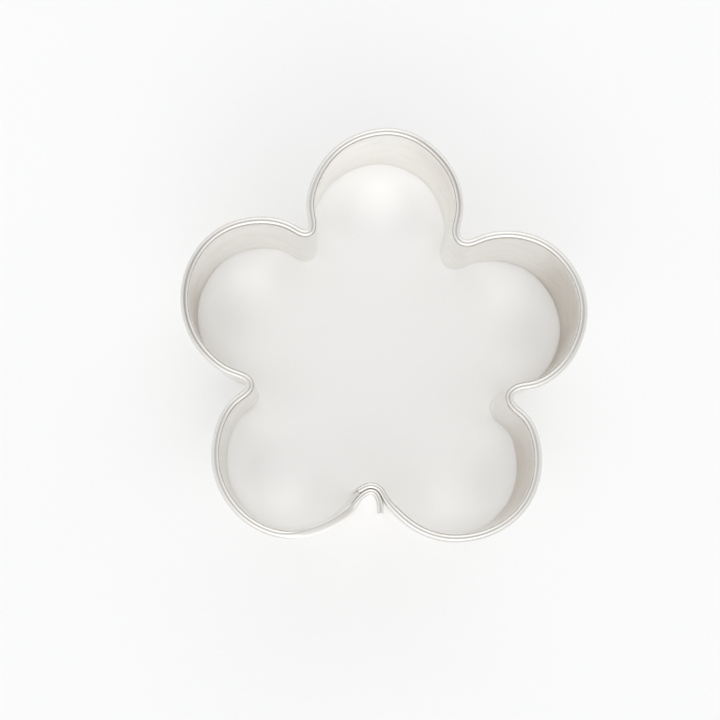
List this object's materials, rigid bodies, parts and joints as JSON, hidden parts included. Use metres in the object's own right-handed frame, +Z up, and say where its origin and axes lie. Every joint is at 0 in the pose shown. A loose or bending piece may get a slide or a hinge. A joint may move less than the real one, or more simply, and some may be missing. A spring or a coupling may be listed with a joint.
{
  "type": "cookie cutter",
  "caption": "Flower-shaped cookie cutter bent from a thin bright metal strip, with a folded safe rim, a plain cutting edge and a spot-welded lap seam.",
  "frame": {"origin": "on the surface the cutting edge stands on, under the middle of the flower's bounding box", "axes": "+Z up from the cutting edge to the folded rim, +Y from the seam notch towards the petal opposite it, +X to the right when looking along +Y"},
  "size_m": [0.049, 0.05, 0.022],
  "materials": {
    "sheet_metal": "bright rolled",
    "weld_metal": "dull"
  },
  "bodies": {
    "root": {"cutter_strip": "sheet_metal", "spot_weld_upper": "weld_metal", "spot_weld_lower": "weld_metal"}
  },
  "joints": []
}
